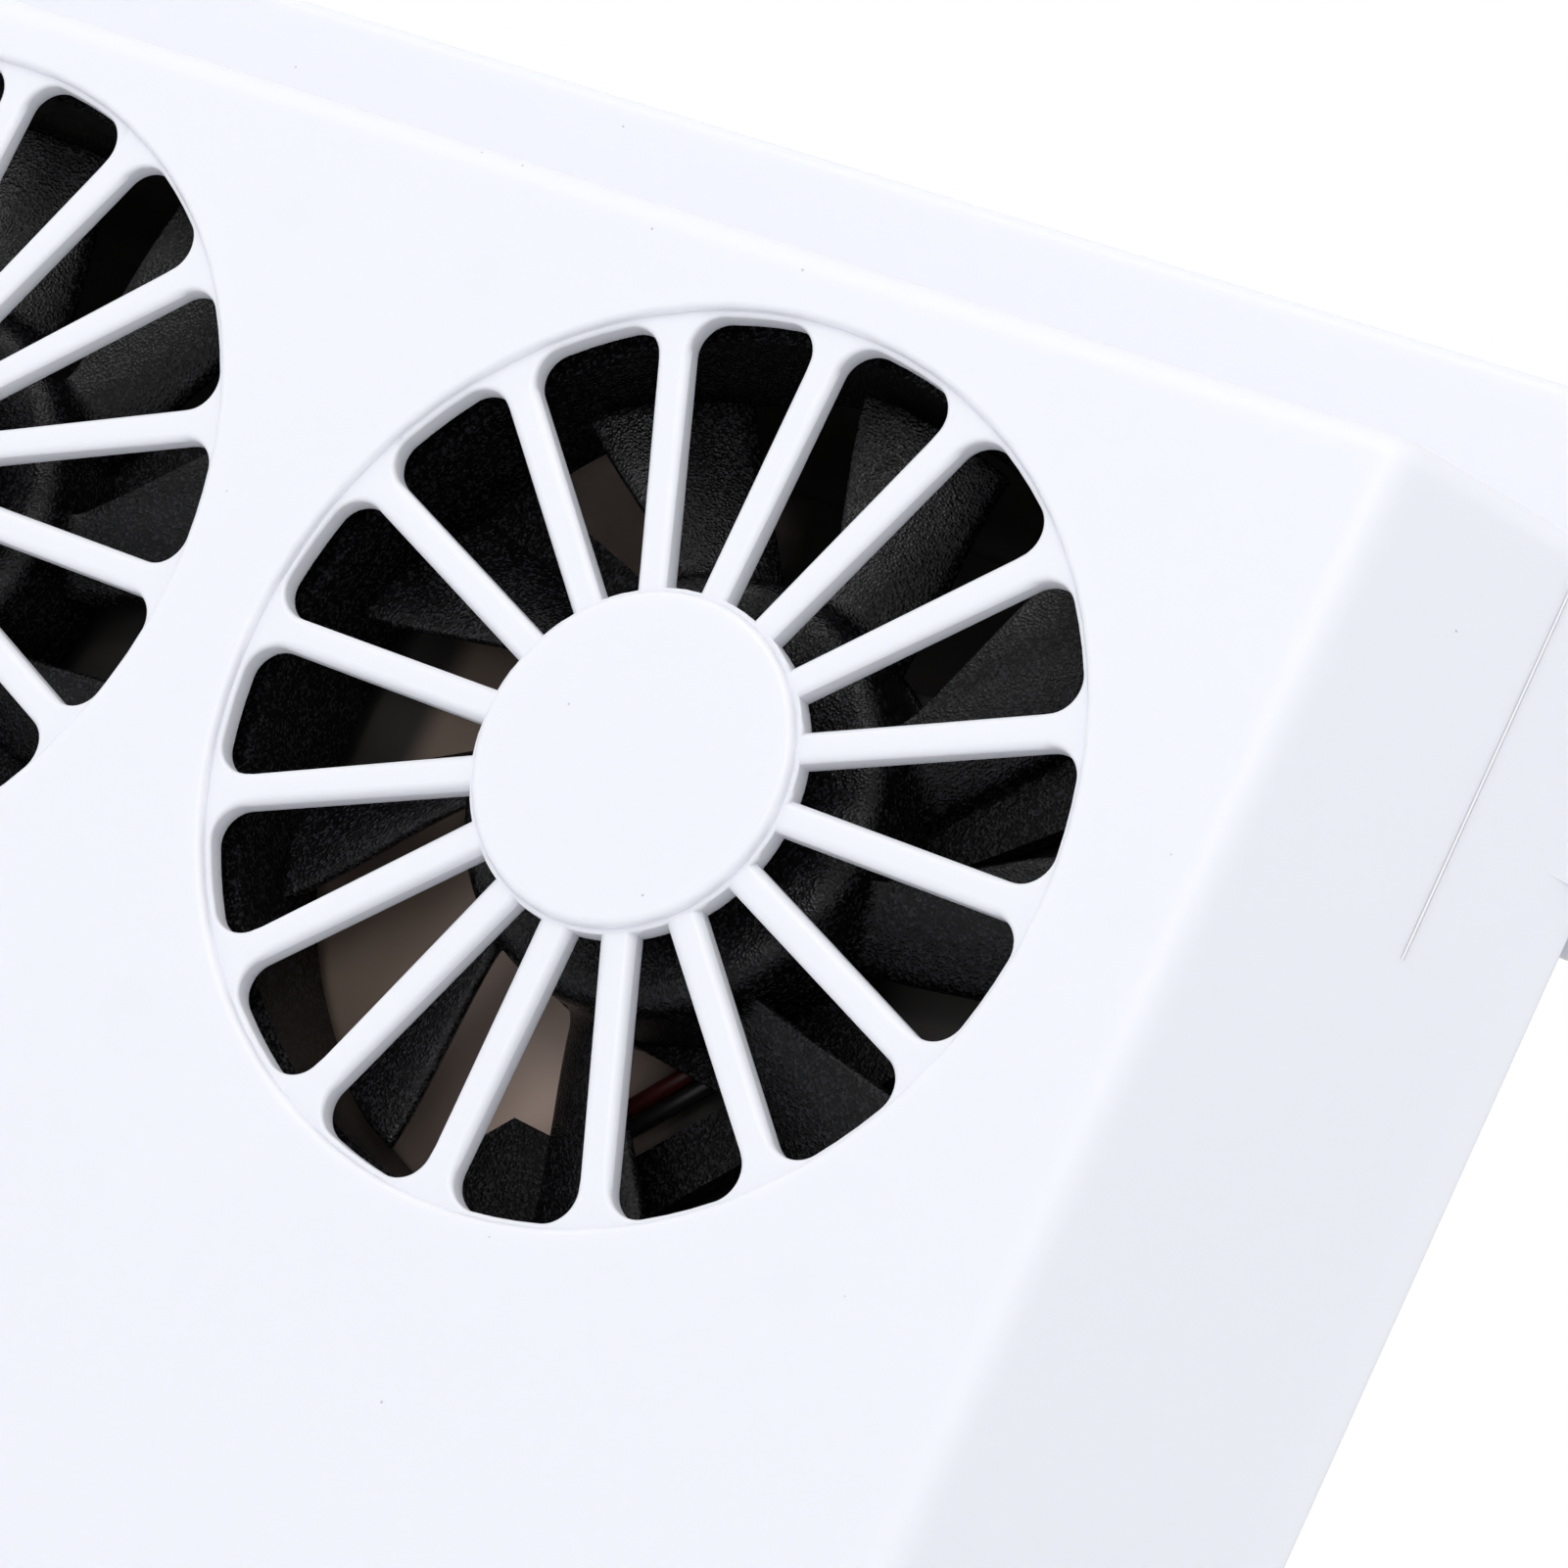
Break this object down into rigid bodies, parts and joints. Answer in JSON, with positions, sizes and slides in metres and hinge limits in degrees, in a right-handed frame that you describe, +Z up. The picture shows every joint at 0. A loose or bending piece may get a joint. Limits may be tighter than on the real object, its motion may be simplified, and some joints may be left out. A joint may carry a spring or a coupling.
{
  "type": "window exhaust fan",
  "caption": "White window-hung car ventilator with round radial-slot grilles over black axial fans, slanted ends, a glass saddle and a solar panel on its outer face.",
  "frame": {"origin": "middle of the underside of the part's box", "axes": "+X along the row of fans, +Y from the cabin side to the outer side, +Z up"},
  "size_m": [0.2564, 0.045, 0.1178],
  "materials": {
    "white_plastic": "satin moulded white plastic",
    "grey_plastic": "matte warm grey plastic",
    "fan_plastic": "fine-grained black plastic",
    "black_plastic": "matte black plastic",
    "button_plastic": "matte grey plastic",
    "panel_backing": "black laminate",
    "solar_cell": "dark blue silicon",
    "clear_cover": "clear resin",
    "circuit_board": "green solder mask",
    "connector_plastic": "cream plastic",
    "screw_steel": "zinc-plated steel",
    "shaft_steel": "ground steel",
    "socket_steel": "formed steel shell",
    "core_steel": "stacked sheet steel",
    "sleeve_bronze": "sintered bronze",
    "coil_copper": "enamelled copper wire",
    "magnet_ferrite": "bonded ferrite",
    "battery_foil": "foil pouch",
    "foam_tape": "white foam tape",
    "pad_rubber": "soft black foam rubber",
    "red_lead": "red wire insulation",
    "black_lead": "black wire insulation"
  },
  "bodies": {
    "case": {"battery_pack": "battery_foil", "battery_tape": "foam_tape", "black_leads": "black_lead", "board_chips": "black_plastic", "charging_socket": "socket_steel", "control_board": "circuit_board", "control_screws": "screw_steel", "fan_bearing_left": "sleeve_bronze", "fan_bearing_middle": "sleeve_bronze", "fan_bearing_right": "sleeve_bronze", "fan_circuit_left": "circuit_board", "fan_circuit_middle": "circuit_board", "fan_circuit_right": "circuit_board", "fan_coils_left": "coil_copper", "fan_coils_middle": "coil_copper", "fan_coils_right": "coil_copper", "fan_core_left": "core_steel", "fan_core_middle": "core_steel", "fan_core_right": "core_steel", "fan_frame_left": "fan_plastic", "fan_frame_middle": "fan_plastic", "fan_frame_right": "fan_plastic", "fan_screws": "screw_steel", "front_glass_pad": "pad_rubber", "front_housing": "white_plastic", "glass_saddle": "grey_plastic", "lead_connectors": "connector_plastic", "panel_board": "panel_backing", "panel_cover": "clear_cover", "rear_glass_pad": "pad_rubber", "rear_housing": "white_plastic", "rear_screws": "screw_steel", "red_leads": "red_lead", "saddle_screws": "screw_steel", "solar_cells": "solar_cell", "tact_switch": "black_plastic"},
    "rotor_left": {"fan_rotor_left": "fan_plastic", "fan_shaft_left": "shaft_steel", "fan_magnet_left": "magnet_ferrite", "fan_clip_left": "shaft_steel"},
    "rotor_middle": {"fan_rotor_middle": "fan_plastic", "fan_shaft_middle": "shaft_steel", "fan_magnet_middle": "magnet_ferrite", "fan_clip_middle": "shaft_steel"},
    "rotor_right": {"fan_rotor_right": "fan_plastic", "fan_shaft_right": "shaft_steel", "fan_magnet_right": "magnet_ferrite", "fan_clip_right": "shaft_steel"},
    "button": {"power_button": "button_plastic", "switch_plunger": "button_plastic"}
  },
  "joints": [
    {"name": "spin_left", "type": "hinge", "parent": "case", "child": "rotor_left", "pos_m": [-0.065, -0.0135, 0.074], "axis": [0, 1, 0], "continuous": true},
    {"name": "spin_middle", "type": "hinge", "parent": "case", "child": "rotor_middle", "pos_m": [0, -0.0135, 0.074], "axis": [0, 1, 0], "continuous": true},
    {"name": "spin_right", "type": "hinge", "parent": "case", "child": "rotor_right", "pos_m": [0.065, -0.0135, 0.074], "axis": [0, 1, 0], "continuous": true},
    {"name": "button_press", "type": "slide", "parent": "case", "child": "button", "axis": [0, 1, 0], "range_m": [0, 0.0005], "stiffness_N_per_m": 4000}
  ]
}
